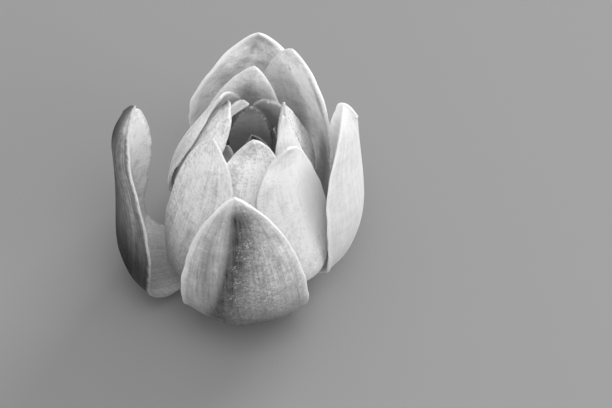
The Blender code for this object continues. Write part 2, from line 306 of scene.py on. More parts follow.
# %% [markdown]
# ## From surface to skin
#
# A petal is under a millimetre thick, but its rim is what the eye catches, so it is rounded and
# not cut square. One closed ring of points runs over the inner face, round one rim, back over the
# outer face and round the other rim. Carried from foot to tip, the ring sweeps the whole skin. A
# solidified sheet would be quicker, but its rim would stay square and its two faces alike.

# %% The ring round a blade
THICKNESS = 0.7
RIM_STEPS = 5


def smooth(x):
    """Zero below 0, one above 1, and three x squared minus two x cubed between."""
    x = np.clip(x, 0, 1)
    return x * x * (3 - 2 * x)


def ring_of(face_steps):
    """The ring's plan: for each point, how far across it lies on the flat part and on the rim.

    A point's place across is flat times the half width less the rim's radius, plus round times
    that radius. Depth is 1 on the inner face, -1 on the outer face and a cosine round the rims.
    The points of a face lie closer together towards its margins.
    """
    even = np.linspace(-1, 1, face_steps)
    flat = 0.5 * even + 0.5 * np.sin(0.5 * np.pi * even)
    angle = np.linspace(0, np.pi, RIM_STEPS + 2)[1:-1]
    flats = np.concatenate([flat, np.ones(RIM_STEPS), flat[::-1], -np.ones(RIM_STEPS)])
    rounds = np.concatenate([flat * 0, np.sin(angle), flat * 0, -np.sin(angle)])
    depths = np.concatenate([flat * 0 + 1, np.cos(angle), flat * 0 - 1, -np.cos(angle)])
    return flats[None, :], rounds[None, :], depths[None, :]


print("points in a ring of 60 steps across:", ring_of(60)[0].size)

# %% [markdown]
# ## Relief: folds, veins and a living margin
#
# No petal is a perfect shell. Slow folds run along it, fine veins meet at its tip, and its margin
# wavers and is slightly nibbled. Each is a small shift, a fraction of a millimetre, so the blades
# keep clear of each other. Sums of sine waves with seeded phases give the same flower every time.

# %% Waves and the crease
CREASE_FOOT = 0.4
CREASE_ACROSS = -0.47
CREASE_SLOPE = 0.86
CREASE_DEPTH = 0.28
CREASE_REACH = 2.1
RIPPLE_REACH = 2.2
ROLL_REACH = 1.6


def wander(position, counts, random):
    """A sum of sines with seeded phases, one for each count along the position, near -1 to 1."""
    waves = [np.sin(2 * np.pi * (count * position + random.uniform())) for count in counts]
    return sum(waves) / len(counts) ** 0.5


def margin_waves(u, across, right_counts, left_counts, random):
    """Waves along the blade, with other counts and phases on its right side than on its left."""
    right = wander(u, right_counts, random)
    return np.where(across > 0, right, wander(u, left_counts, random))


def crease_offset(u, across):
    """Millimetres across from the front sepal's crease, whose place across shifts evenly with u."""
    offset = across - CREASE_ACROSS - CREASE_SLOPE * (u - CREASE_FOOT)
    return offset * half_width(SHAPES["sepal_front"], u)


# %% Relief
def relief_of(name, u, across, margin, depths, random, folds, veins, vein_depth, ripple, roll):
    """Millimetres by which the skin is shifted along the inward normal.

    Folds are slow cosines across the blade. Veins are narrow furrows of both faces. Near the margin
    comes a ripple, and the last part of the rim rolls outwards. The front sepal has a crease too, a
    shallow trough from its lower left to its tip.
    """
    inland = smooth(u / 0.15) * smooth((1 - u) / 0.1)
    fold = np.zeros_like(across)
    for k in range(1, 4):
        phase, tilt = random.uniform(0, 2 * np.pi), random.uniform(-1, 1)
        fold = fold + np.cos(np.pi * (k + 0.5) * across + phase + 3 * tilt * u) / k
    relief = 0.5 * folds * inland * fold * (1 - across**4)
    furrow = np.abs(np.sin(0.5 * np.pi * veins * across + 0.4 * np.sin(5 * u + veins)))
    furrow = np.exp(-((furrow / 0.35) ** 2)) * smooth(margin / 1.5)
    relief = relief - np.sign(depths) * vein_depth * furrow * smooth((1 - u) / 0.2)
    waves = margin_waves(u, across, (2, 3, 5, 8), (2, 4, 6, 9), random)
    relief = relief + ripple * inland * waves * smooth(1 - margin / RIPPLE_REACH)
    relief = relief - roll * inland * smooth(1 - margin / ROLL_REACH) ** 2
    if name == "sepal_front":
        trough = np.exp(-((crease_offset(u, across) / CREASE_REACH) ** 2))
        trough = trough * smooth((u - 0.3) / 0.15) * smooth((0.98 - u) / 0.12)
        relief = relief + CREASE_DEPTH * trough
    return relief


# %% [markdown]
# ## Tones of one blade: its marks, painted shade and painted light
#
# The flower is all in greys, and its light and dark places are only partly light and shadow from
# the lamps. Some are its own colour: the left sepal has a black blotch under its tip, and the back
# petals have soft bruises. Others are painted shade and painted light. The blades are darker
# towards their feet, partly by their own colour and partly by painted shade. The petals' tips are
# darkened by painted shade. Dark ovals stand for shade low on the front sepal, deep between the
# blades and in the mouth, and light ovals brighten shaded gaps. The front sepal's dark band along
# its crease is partly its own colour and partly painted shade of the fold. Painting a picture for
# each blade would be rigid. Here each place is a soft oval in the blade's own coordinates, and the
# mesh stores one number for each point.

# %% Marks, painted shade and light, and tone
# Each oval: face (1 inner, -1 outer), across, u, half width across, half length, strength. Some
# ovals are the blade's own marks. The others are painted shade where they darken and painted light
# where they lighten.
MARKS_AND_PAINTED_SHADING = {
    "sepal_front": [
        (-1, 0.05, 0.6, 0.5, 0.45, -0.42),
        # Painted shadow low on the outer face, near the foot.
        (-1, 0.05, 0.28, 1.1, 0.18, -0.86),
        (-1, -0.6, 0.68, 0.13, 0.22, -0.34),
        (-1, -0.1, 1, 0.8, 0.045, 0.45),
        (-1, 0.2, 0.62, 0.16, 0.1, 0.16),
        (-1, 0.75, 0.45, 0.2, 0.12, -0.15),
    ],
    "sepal_left": [
        (-1, -0.1, 0.905, 0.42, 0.04, -0.9),
        (-1, 0.8, 0.975, 0.45, 0.025, 1.6),
        (-1, 0.85, 0.78, 0.35, 0.2, 1.1),
        (-1, 0.35, 0.72, 0.3, 0.1, -0.25),
        (-1, 0.45, 0.42, 0.8, 0.17, -0.85),
        (1, -0.2, 0.45, 0.5, 0.2, -0.35),
        (1, 0.5, 0.25, 0.8, 0.12, -0.55),
    ],
    "sepal_right": [
        (-1, 0.45, 0.94, 0.5, 0.08, -0.5),
        (1, 0.45, 0.86, 0.5, 0.09, -0.5),
        (-1, 0.3, 0.45, 0.4, 0.2, -0.25),
    ],
    "sepal_back": [
        (1, 0.1, 0.925, 0.2, 0.022, -0.42),
        (1, 0.25, 0.84, 0.16, 0.03, -0.32),
        (1, -0.15, 0.8, 0.16, 0.06, -0.22),
        (1, 0.45, 0.72, 0.16, 0.06, -0.35),
        (1, 0.85, 0.58, 0.35, 0.15, 0.3),
        (1, 0, 0.99, 1.5, 0.06, -0.5),
    ],
    "outer_petal_front_left": [
        # Painted shade low on the outer face, deep between the blades.
        (-1, 0, 0.25, 1.5, 0.28, -0.6),
        (-1, 0.12, 0.5, 0.08, 0.05, -0.35),
        (-1, 0.42, 0.77, 0.1, 0.04, -0.2),
    ],
    "outer_petal_front_right": [
        (-1, -0.9, 0.35, 0.45, 0.18, -0.35),
        # The second oval is painted light on the right part, shaded by the right sepal.
        (-1, 0.8, 0.5, 0.5, 0.3, 0.3),
        (-1, -0.65, 0.78, 0.22, 0.07, -0.22),
        (-1, -0.3, 0.66, 0.15, 0.05, -0.15),
    ],
    "outer_petal_back_right": [
        (1, 0.6, 0.7, 0.22, 0.12, -0.15),
        (1, 0.28, 0.87, 0.035, 0.01, -0.75),
        (1, -0.8, 0.8, 0.16, 0.09, -0.55),
    ],
    "outer_petal_back": [(1, 0.05, 0.8, 0.35, 0.13, -0.48), (1, -0.55, 0.7, 0.2, 0.12, -0.2)],
    "middle_petal_front": [
        (-1, -0.2, 1, 1.2, 0.12, -0.28),
        (-1, -0.1, 0.4, 0.6, 0.18, -0.5),
        (-1, 0.15, 0.85, 0.14, 0.12, 0.15),
        (-1, -0.55, 0.8, 0.2, 0.08, -0.2),
    ],
    "middle_petal_front_right": [(-1, 0.7, 0.97, 0.6, 0.05, -0.35)],
    "middle_petal_back_left": [(-1, 0.85, 0.64, 0.25, 0.2, -0.4), (1, -0.8, 0.97, 0.5, 0.05, -0.4)],
    # The second oval is painted light on the outer face, shaded by the petal behind.
    "middle_petal_left": [(-1, -0.9, 0.96, 0.5, 0.07, -0.95), (-1, -0.6, 0.72, 0.5, 0.16, 0.25)],
    "inner_petal_right": [
        (-1, -0.35, 0.93, 0.45, 0.03, -0.4),
        (1, 0.2, 0.97, 1.5, 0.07, -0.6),
        (1, 0.8, 0.9, 0.5, 0.08, -0.45),
    ],
    "inner_petal_back_right": [(1, 0.9, 1, 0.5, 0.04, -0.5), (-1, 0, 0.97, 1.5, 0.1, -0.8)],
    "inner_petal_back_left": [(-1, 0, 0.97, 1.5, 0.08, -0.35)],
    "inner_petal_front_left": [(-1, 0.1, 1, 1.6, 0.12, -0.35), (-1, 0, 0.5, 1.6, 0.25, 0.7)],
    # The heart petals' dark ovals are painted shade of the deep mouth.
    "heart_petal_front": [(-1, 0, 1, 1.6, 0.16, -0.9)],
    "heart_petal_right": [(-1, 0, 1, 1.6, 0.16, -0.75)],
    "heart_petal_back": [(1, 0, 1, 1.4, 0.12, -0.34), (1, 0, 0.55, 1.4, 0.18, -0.38)],
}
# Darker towards every blade's foot: partly the bases' own darker colour, partly painted shade deep
# between the blades.
FOOT_DARKENING = 0.5
# The petals' tips are darkened: painted shade.
TIP_PAINTED_SHADE = 0.22
# The front sepal's dark band along its crease: partly its own colour, partly painted shade of the
# fold.
CREASE_DARKENING = 0.76
BAND_LEFT, BAND_RIGHT = 1.4, 3.8


def tone_of(name, u, across, depths):
    """One, darker towards the foot and at a petal's tip, times one plus strength times a bell curve
    for each oval, on the oval's own face and half of it round the rim. The darker foot is partly
    the blade's own colour and partly painted shade. The darker petal tip is painted shade. The
    ovals are the blade's own marks, painted shade and painted light. The front sepal's outer face
    has a dark band along the crease, partly its own colour and partly painted shade of the fold,
    with a soft side on the right."""
    tone = 1 - FOOT_DARKENING * np.exp(-((u / 0.3) ** 2))
    if "petal" in name:
        tone = tone * (1 - TIP_PAINTED_SHADE * smooth((u - 0.86) / 0.12))
    for face, centre, middle, wide, long, strength in MARKS_AND_PAINTED_SHADING.get(name, ()):
        bell = np.exp(-(((across - centre) / wide) ** 2) - ((u - middle) / long) ** 2)
        tone = tone * (1 + strength * bell * smooth(0.5 + 0.75 * face * depths))
    # The crease band, partly own colour and partly painted shade of the fold.
    if name == "sepal_front":
        offset = crease_offset(u, across)
        band = np.exp(-((offset / np.where(offset < 0, BAND_LEFT, BAND_RIGHT)) ** 2))
        band = band * smooth((u - 0.33) / 0.1) * smooth((0.985 - u) / 0.08)
        tone = tone * (1 - CREASE_DARKENING * band * np.clip(-depths, 0, 1))
    return tone


GRITTY = {"inner_petal_right": 2.4, "middle_petal_front": 1.3, "middle_petal_left": 1.5}


def grit_of(name, u, across):
    """How grainy the skin is: one or the blade's own value. The front sepal is smooth left of its
    crease and grainy right of it, and the petal at its left has a grainy left margin."""
    if name == "sepal_front":
        right = smooth((crease_offset(u, across) + 0.3) / 1.6)
        return 0.35 + right * (0.85 - 0.5 * smooth((across - 0.35) / 0.4))
    if name == "outer_petal_front_left":
        return 0.7 + smooth((-0.25 - across) / 0.4)
    return np.full(across.shape, GRITTY.get(name, 0.9))


# %% [markdown]
# ## The blade's mesh
#
# The ring's points are worked out for all rows at once, as one array. Besides its UV map, a blade
# stores five numbers at each point for its material: the distance from the margin, the face, the
# tone, how grainy it is, and the blade's own seed.

# %% The finer blade
TIP_CROWDING = 1.35
ROUNDING_START = 0.985
TIP_WIDTH = 0.15
TIP_THICKNESS = 0.2
NIBBLE = 0.04
PINCH_END = 0.95
# Sepals drawn in on one side near the tip: side, start and share. A negative share widens.
PINCHES = {
    "sepal_left": [(-1, 0.84, 0.66), (1, 0.75, -0.10)],
    "sepal_right": [(1, 0.72, 0.87)],
    "sepal_back": [(1, 0.62, 0.14)],
}


def pinched(name, u, across):
    """Across, drawn in on one side of the midrib by a share that grows from start to end."""
    for side, start, share in PINCHES.get(name, ()):
        drawn = share * smooth((u - start) / (PINCH_END - start)) * (across * side > 0)
        across = across * (1 - drawn)
    return across


def blade_skin(name, rows, face_steps, seed, relief):
    """A closed mesh for one blade: the middle surface, shifted by depth times half the thickness
    and by the relief.

    The rows lie closer together towards the tip, where the last part rounds off like a half circle.
    Bites move the margin in and out along the blade, and the points inside it hardly at all.
    """
    shape = SHAPES[name]
    random = np.random.default_rng(seed)
    u = (1 - (1 - np.linspace(0, 1, rows)) ** TIP_CROWDING)[:, None]
    flats, rounds, depths = ring_of(face_steps)
    half = half_width(shape, u)
    ending = np.sqrt(1 - np.clip((u - ROUNDING_START) / (1 - ROUNDING_START), 0, 1) ** 2)
    rim = np.minimum(0.5 * THICKNESS, 0.85 * half)
    across = (flats * (half - rim) + rounds * rim) / half
    margin = half * (1 - np.abs(across))
    across = across * (TIP_WIDTH + (1 - TIP_WIDTH) * ending)
    bites = margin_waves(u, across, (5, 9, 16), (4, 11, 15), random)
    bites = NIBBLE * bites * smooth(u / 0.15) * smooth((1 - u) / 0.08)
    across = across + np.sign(across) * np.abs(across) ** 4 * bites / half
    across = pinched(name, u, across)
    lengthwise, crosswise = [
        middle_surface(shape, np.clip(u + step, 0, 1), across + aside)
        - middle_surface(shape, np.clip(u - step, 0, 1), across - aside)
        for step, aside in ((0.002, 0), (0, 0.01))]
    normal = np.cross(lengthwise, crosswise)
    normal = normal / np.linalg.norm(normal, axis=-1, keepdims=True)
    shift = 0.5 * THICKNESS * depths * (TIP_THICKNESS + (1 - TIP_THICKNESS) * ending)
    shift = shift + relief_of(name, u, across, margin, depths, random, **relief)
    points = middle_surface(shape, u, across) + normal * shift[..., None]
    values = dict(margin=margin, face=depths, tone=tone_of(name, u, across, depths),
                  grit=grit_of(name, u, across), seed=seed)
    return skin_piece(name + "_skin", [(points, u, 0.5 + 0.5 * across, values)])


def with_ends(grid, wraps):
    """A grid of rows by ring as one list, then the means of its end rings unless it wraps round."""
    listed = grid.reshape((-1,) + grid.shape[2:])
    if wraps:
        return listed
    return np.concatenate([listed, np.stack([grid[0].mean(axis=0), grid[-1].mean(axis=0)])])


def skin_piece(name, shells, wrapped=()):
    """Closed shells to one object: four-sided faces between rings, and a fan to close each end.

    A shell is its points in millimetres, rows by ring by 3, then the two numbers of its UV map and
    the values stored at each point, which are spread over rows and ring. The rows go round so that
    the faces point outwards. A shell whose number is among the wrapped ones is a closed loop, so
    its last row joins its first.
    """
    corners, faces, places, stores = [], [], [], []
    start = 0
    for number, (points, along, around, values) in enumerate(shells):
        wraps = number in wrapped
        rows, ring = points.shape[:2]
        spread = {key: np.broadcast_to(value, (rows, ring)) for key, value in values.items()}
        place = np.stack(np.broadcast_arrays(along, around), axis=-1)
        index = start + np.arange(rows * ring).reshape(rows, ring)
        if wraps:
            index = np.concatenate([index, index[:1]])
        after = np.roll(index, -1, axis=1)
        quads = np.stack([index[:-1], index[1:], after[1:], after[:-1]], axis=-1).reshape(-1, 4)
        faces += quads.tolist()
        if not wraps:
            foot, tip = np.full(ring, start + rows * ring), np.full(ring, start + rows * ring + 1)
            faces += np.stack([index[0], after[0], foot], axis=-1).tolist()
            faces += np.stack([after[-1], index[-1], tip], axis=-1).tolist()
        corners.append(with_ends(points, wraps))
        places.append(with_ends(place, wraps))
        stores.append({key: with_ends(value, wraps) for key, value in spread.items()})
        start += len(corners[-1])
    mesh = bpy.data.meshes.new(name)
    mesh.from_pydata((np.concatenate(corners) * MM).tolist(), [], faces)
    mesh.shade_smooth()
    mesh.update()
    for key in stores[0]:
        data = mesh.attributes.new(key, "FLOAT", "POINT").data
        data.foreach_set("value", np.concatenate([s[key] for s in stores]).astype(np.float32))
    vertex = np.empty(len(mesh.loops), dtype=np.int32)
    mesh.loops.foreach_get("vertex_index", vertex)
    flat = np.concatenate(places)[vertex].astype(np.float32).ravel()
    mesh.uv_layers.new(name="surface").data.foreach_set("uv", flat)
    thing = bpy.data.objects.new(name, mesh)
    scene.collection.objects.link(thing)
    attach(thing, "root")
    return thing


# %% Blade pieces
# Rows and steps across a face, by whorl. The innermost petals hardly show and need fewer.
GRIDS = {"sepal": (140, 64), "outer": (130, 54), "middle": (120, 46)}
SMALL_GRID = (96, 34)
SEPAL_RELIEF = dict(folds=0.28, veins=17, vein_depth=0.045, ripple=0.16, roll=0.3)
PETAL_RELIEF = dict(folds=0.1, veins=13, vein_depth=0.03, ripple=0.08, roll=0.12)
blades = {}
for seed, name in enumerate(SHAPES):
    whorl = name.split("_")[0]
    relief = SEPAL_RELIEF if whorl == "sepal" else PETAL_RELIEF
    blades[name] = blade_skin(name, *GRIDS.get(whorl, SMALL_GRID), seed, relief)
    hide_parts(name)
print("triangles in the blades:", sum(2 * len(b.data.polygons) for b in blades.values()))

# %% [markdown]
# ## Helpers for materials
#
# A material is a small program of nodes. A few helpers keep it readable: one feeds a node, one adds
# a node, one starts a group and one feeds a shader. A group is built once and used by several
# materials, each with its own values.

# %% Node helpers
def feed(tree, node, inputs):
    """Gives a node its inputs: a socket is linked, and a plain value is set."""
    for key, value in dict(inputs).items():
        if isinstance(value, bpy.types.NodeSocket):
            tree.links.new(value, node.inputs[key])
        else:
            node.inputs[key].default_value = value


def add(tree, kind, inputs=(), **settings):
    """A new shader node with its settings and inputs."""
    node = tree.nodes.new("ShaderNode" + kind)
    for key, value in settings.items():
        setattr(node, key, value)
    feed(tree, node, inputs)
    return node


def compute(tree, operation, first, second=0.0, third=0.0):
    """The result of one Math node."""
    values = {0: first, 1: second, 2: third}
    return add(tree, "Math", values, operation=operation).outputs[0]


def ramp(tree, value, start, end, low=0.0, high=1.0):
    """A value carried from the range start to end over to low to high, held at both ends."""
    inputs = {"Value": value, "From Min": start, "From Max": end, "To Min": low, "To Max": high}
    return add(tree, "MapRange", inputs).outputs["Result"]


def stored(tree, name):
    """The number that the mesh stores at each point under this name."""
    return add(tree, "Attribute", attribute_name=name).outputs["Fac"]


def new_group(name, inputs, outputs):
    """An empty node group: its tree, the sockets that come in and the node that they go out by."""
    group = bpy.data.node_groups.new(name, "ShaderNodeTree")
    for label, value in inputs.items():
        socket = group.interface.new_socket(label, in_out="INPUT", socket_type="NodeSocketFloat")
        socket.default_value = value
    for label in outputs:
        group.interface.new_socket(label, in_out="OUTPUT", socket_type="NodeSocketFloat")
    return group, group.nodes.new("NodeGroupInput").outputs, group.nodes.new("NodeGroupOutput")


def feed_skin(tree, shader, shade, roughness, height, depth, uniform):
    """Feeds a shader with a grey shade, a roughness, a bump of this depth in millimetres, and the
    inputs that are the same all over."""
    bump = add(tree, "Bump", {"Height": height, "Strength": 1.0, "Distance": depth * MM})
    colour = add(tree, "CombineColor", {0: shade, 1: shade, 2: shade})
    feed(tree, shader, {
        "Base Color": colour.outputs[0], "Roughness": roughness, "Normal": bump.outputs[0],
        "Subsurface Radius": (1, 1, 1), **uniform})


# %% [markdown]
# ## Streaks that follow the blade
#
# The fibres of a petal start side by side at its foot and meet at its tip. The blade's own UV map
# already runs that way, so noise that is squeezed across and stretched along gives streaks which
# follow every bend. The seed moves the noise, so no two blades have the same streaks.

# %% Blade streaks group
SEED_STEP = 7.31
streaks, given, result = new_group(
    "blade streaks", {"Count": 40, "Stretch": 4}, ["Fine", "Broad", "Lines", "Wrinkles"])
surface = add(streaks, "UVMap", uv_map="surface").outputs[0]
place = add(streaks, "SeparateXYZ", {0: surface}).outputs
lengthwise = compute(streaks, "MULTIPLY", place["X"], given["Stretch"])
crosswise = compute(streaks, "MULTIPLY", place["Y"], given["Count"])
seed_shift = compute(streaks, "MULTIPLY", stored(streaks, "seed"), SEED_STEP)


def streak_noise(across, along, detail):
    """Noise on the blade, with these shares of the count across and of the stretch along."""
    x = compute(streaks, "MULTIPLY", crosswise, across)
    y = compute(streaks, "MULTIPLY", lengthwise, along)
    vector = add(streaks, "CombineXYZ", {"X": x, "Y": y, "Z": seed_shift}).outputs[0]
    inputs = {"Vector": vector, "Scale": 1, "Detail": detail, "Roughness": 0.6}
    return add(streaks, "TexNoise", inputs).outputs["Fac"]


thin = streak_noise(across=0.6, along=0.6, detail=1)
thin = compute(streaks, "ABSOLUTE", compute(streaks, "SUBTRACT", thin, 0.5))
fine = streak_noise(across=1, along=1, detail=3)
broad = streak_noise(across=0.22, along=0.22, detail=2)
wrinkles = streak_noise(across=0.25, along=24, detail=2)
feed(streaks, result, {
    "Fine": ramp(streaks, fine, 0.3, 0.7),
    "Broad": ramp(streaks, broad, 0.3, 0.7),
    "Lines": ramp(streaks, thin, 0, 0.035, 1, 0),
    "Wrinkles": ramp(streaks, wrinkles, 0.35, 0.65),
})
print("nodes in the streaks group:", len(streaks.nodes))

# %% [markdown]
# ## Grain, mottle and specks
#
# Seen close, the skin is a field of tiny cells: paler and darker clouds a few millimetres wide, a
# grain of about half a millimetre, and bright specks, painted glints where a cell catches the
# light. They have no direction, so they read Object coordinates, where a scale of 2000 per metre
# makes 0.5 mm cells.

# %% Skin grain group
skin_grain, given, result = new_group(
    "skin grain", {"Mottle Scale": 360, "Grain Scale": 1500, "Speck Scale": 2000},
    ["Mottle", "Grain", "Specks"])
position = add(skin_grain, "TexCoord").outputs["Object"]


def cloud(scale, detail, low, high):
    """Noise in space at this scale, spread so that low to high becomes 0 to 1."""
    inputs = {"Vector": position, "Scale": scale, "Detail": detail, "Roughness": 0.62}
    return ramp(skin_grain, add(skin_grain, "TexNoise", inputs).outputs["Fac"], low, high)


cells = add(skin_grain, "TexVoronoi", {"Vector": position, "Scale": given["Speck Scale"]})
speck = ramp(skin_grain, cells.outputs["Distance"], 0.42, 0.12)
feed(skin_grain, result, {
    "Mottle": cloud(given["Mottle Scale"], detail=4, low=0.3, high=0.7),
    "Grain": cloud(given["Grain Scale"], detail=2, low=0.3, high=0.7),
    "Specks": compute(skin_grain, "MULTIPLY", speck, cloud(700, detail=2, low=0.48, high=0.66)),
})
print("nodes in the grain group:", len(skin_grain.nodes))

# %% [markdown]
# ## The pale rim, painted light of the margin
#
# Light passes through the thin margin and catches its rolled edge. Here that light is painted: a
# pale thread in the colour round each blade, broken into beads. The mesh stores the distance from
# the margin in millimetres, so the thread keeps its width everywhere, and noise moves it in and
# out.

# %% Pale rim group
pale_rim, given, result = new_group("pale rim", {"Width": 0.6, "Beading": 0.5}, ["Rim"])
position = add(pale_rim, "TexCoord").outputs["Object"]
beads = add(pale_rim, "TexNoise", {"Vector": position, "Scale": 1300, "Detail": 2})
beads = compute(pale_rim, "SUBTRACT", beads.outputs["Fac"], 0.5)
beads = compute(pale_rim, "MULTIPLY", beads, given["Beading"])
distance = compute(pale_rim, "MULTIPLY_ADD", beads, 3, stored(pale_rim, "margin"))
full_at = compute(pale_rim, "MULTIPLY", given["Width"], 0.15)
feed(pale_rim, result, {"Rim": ramp(pale_rim, distance, given["Width"], full_at)})
print("nodes in the rim group:", len(pale_rim.nodes))

# %% [markdown]
# ## Petal and sepal skins
#
# A petal's skin is satin, a little waxy, and lets some light through. All blades share one recipe:
# a tone for each face, times the stored tone with its marks and painted shade, times streaks,
# mottle and grain, with bright specks, which are painted glints, and the pale rim, which is painted
# light of the thin margin, on top. The sepals differ in their values. Their outer faces were the
# cover of the bud, so most are darker and more fibrous, and only the margin is pale, by the painted
# rim light. The right sepal is almost plain. The heart petals' dark outer faces and rims are
# painted shade of the deep mouth.

# %% Blade material
FACE_BLEND = 0.4
INNER_SHARE = 0.3
UNEVENNESS = 0.3
PALEST = 0.92


def blade_material(name, outer, inner, rim, streak, wrinkle, mottle, grain, specks, lines, count,
                   rim_width=0.5, roughness=0.5, depth=0.08, through=0.9, shine=0.4):
    """A skin whose brightness is its face's, times one plus each pattern about its middle.

    On the inner face the streaks, wrinkles and lines are about a third as strong. Through is the
    share of the light that goes on inside the skin, and shine is how much the surface reflects.
    """
    material, tree, shader = new_material(name)
    fibres = add(tree, "Group", {"Count": count, "Stretch": 5.0}, node_tree=streaks).outputs
    cells = add(tree, "Group", node_tree=skin_grain).outputs
    edge = add(tree, "Group", {"Width": rim_width, "Beading": 0.4}, node_tree=pale_rim).outputs
    face, tone, grit = stored(tree, "face"), stored(tree, "tone"), stored(tree, "grit")
    grains = add(tree, "Mix", {0: grit, 2: 0.5, 3: cells["Grain"]}, clamp_factor=False).outputs[0]

    def swing(shade, pattern, amount, inner_amount):
        """The shade, times one plus the amount times how far the pattern lies from a half."""
        strength = ramp(tree, face, -FACE_BLEND, FACE_BLEND, amount, inner_amount)
        offset = compute(tree, "SUBTRACT", pattern, 0.5)
        factor = compute(tree, "MULTIPLY_ADD", offset, strength, 1.0)
        return compute(tree, "MULTIPLY", shade, factor)

    # The stored tone less one: the blade's marks together with its painted shade and painted light,
    # made uneven by the fine streaks and the mottle.
    painted_shading_and_marks = compute(tree, "SUBTRACT", tone, 1.0)
    for pattern in (fibres["Fine"], cells["Mottle"]):
        factor = compute(tree, "MULTIPLY_ADD", pattern, UNEVENNESS, 1 - 0.5 * UNEVENNESS)
        painted_shading_and_marks = compute(tree, "MULTIPLY", painted_shading_and_marks, factor)
    shade = ramp(tree, face, -FACE_BLEND, FACE_BLEND, outer, inner)
    shade = compute(tree, "MULTIPLY", shade, compute(tree, "ADD", painted_shading_and_marks, 1.0))
    inner_streak = min(INNER_SHARE * streak, 0.12)
    for pattern, amount, inner_amount in (
            (fibres["Fine"], streak, inner_streak),
            (fibres["Broad"], 0.6 * streak, inner_streak),
            (cells["Mottle"], mottle, mottle),
            (fibres["Wrinkles"], wrinkle, INNER_SHARE * wrinkle),
            (grains, grain, 0.7 * grain)):
        shade = swing(shade, pattern, amount, inner_amount)
    # Painted glints: bright specks added to the shade where the skin is grainy.
    glints = compute(tree, "MULTIPLY", cells["Specks"], grit)
    shade = compute(tree, "MULTIPLY_ADD", glints, specks, shade)
    threads = compute(tree, "ADD", fibres["Lines"], 0.5)
    shade = swing(shade, threads, -lines, -INNER_SHARE * lines)
    # Painted light of the margin: a pale thread mixed over the shade.
    pale = compute(tree, "MULTIPLY", ramp(tree, tone, 0, 1, 0.15, 1), rim)
    shade = add(tree, "Mix", {0: edge["Rim"], 2: shade, 3: pale}).outputs[0]
    shade = compute(tree, "MINIMUM", shade, PALEST)
    height = compute(tree, "MULTIPLY_ADD", fibres["Fine"], 0.8, grains)
    height = compute(tree, "MULTIPLY_ADD", fibres["Wrinkles"], 4 * wrinkle, height)
    height = compute(tree, "ADD", glints, height)
    roughness = ramp(tree, cells["Grain"], 0, 1, roughness - 0.08, roughness + 0.1)
    feed_skin(tree, shader, shade, roughness, height, depth, {
        "Subsurface Weight": through, "Subsurface Scale": 2.0 * MM,
        "Specular IOR Level": shine, "Sheen Weight": 0.1 * shine})
    return material


SKINS = {
    "front sepal skin": dict(
        outer=0.5, inner=0.7, rim=0.7, streak=0.3, wrinkle=0.07, mottle=0.44, grain=0.55,
        specks=0.3, lines=0.24, count=42, rim_width=1.3, depth=0.07, through=0.5, shine=0.25),
    "fibrous sepal skin": dict(
        outer=0.13, inner=0.9, rim=0.5, streak=0.85, wrinkle=0.08, mottle=0.46, grain=0.34,
        specks=0.05, lines=0.3, count=60, rim_width=0.6, roughness=0.6, through=0.3, shine=0.08),
    "back sepal skin": dict(
        outer=0.46, inner=0.75, rim=0.76, streak=0.4, wrinkle=0.12, mottle=0.62, grain=0.4,
        specks=0.12, lines=0.22, count=46, rim_width=1.2),
    "pale sepal skin": dict(
        outer=0.7, inner=0.84, rim=0.76, streak=0.17, wrinkle=0.04, mottle=0.16, grain=0.12,
        specks=0.03, lines=0.05, count=40, roughness=0.48, depth=0.03),
    "smooth petal skin": dict(
        outer=0.91, inner=0.8, rim=0.74, streak=0.24, wrinkle=0.08, mottle=0.3, grain=0.26,
        specks=0.1, lines=0.08, count=34, depth=0.05),
    "grainy petal skin": dict(
        outer=0.87, inner=0.9, rim=0.7, streak=0.36, wrinkle=0.1, mottle=0.46, grain=0.42,
        specks=0.26, lines=0.2, count=34, roughness=0.52),
    # The heart skin's dark outer face and dark rim are painted shade of the deep mouth.
    "heart petal skin with painted shade": dict(
        outer=0.38, inner=0.8, rim=0.26, streak=0.24, wrinkle=0.08, mottle=0.3, grain=0.25,
        specks=0.04, lines=0.12, count=26, rim_width=0.3, roughness=0.52, depth=0.06),
}
skins = {name: blade_material(name, **look) for name, look in SKINS.items()}
print("skins:", list(skins))

# %% Which blade has which skin
SKIN_OF = {
    "sepal_front": "front sepal skin",
    "sepal_left": "fibrous sepal skin",
    "sepal_right": "pale sepal skin",
    "sepal_back": "back sepal skin",
    "inner_petal_front_left": "heart petal skin with painted shade",
    "outer_petal_front_right": "smooth petal skin",
    "middle_petal_front_right": "smooth petal skin",
}
for name, thing in blades.items():
    usual = "heart petal skin with painted shade" if name.startswith("heart") else "grainy petal skin"
    thing.data.materials.append(skins[SKIN_OF.get(name, usual)])
print("blades dressed:", len(blades))

# %% [markdown]
# ## Receptacle: one turned body
#
# Under the petals sits the receptacle: the stub of the stem, the seats of the whorls one above the
# other, and the dome of the ovary. A lathe gives such a body from one profile, and here the lathe
# is a formula, so the ribs of the stem, the lobes of the ovary and the air canals in the cut can
# be part of the same surface. The cut is flush and flat, because the flower stands on it.

# %% The turned skin
CHAMBERS = 12
# Rings of canals in the cut face: number, distance from the axis, radius and depth.
CUT_CANALS = [(4, 2.2, 0.85, 1.4), (10, 3.9, 0.38, 0.6), (1, 0.0, 0.5, 0.8)]


def corner_cut(profile, times):
    """A smooth profile: time and again each corner gives way to points a quarter from its ends."""
    points = np.array(profile, dtype=float)
    for _ in range(times):
        near = 0.75 * points[:-1] + 0.25 * points[1:]
        far = 0.25 * points[:-1] + 0.75 * points[1:]
        inside = np.stack([near, far], axis=1).reshape(-1, 2)
        points = np.concatenate([points[:1], inside, points[-1:]])
    return points


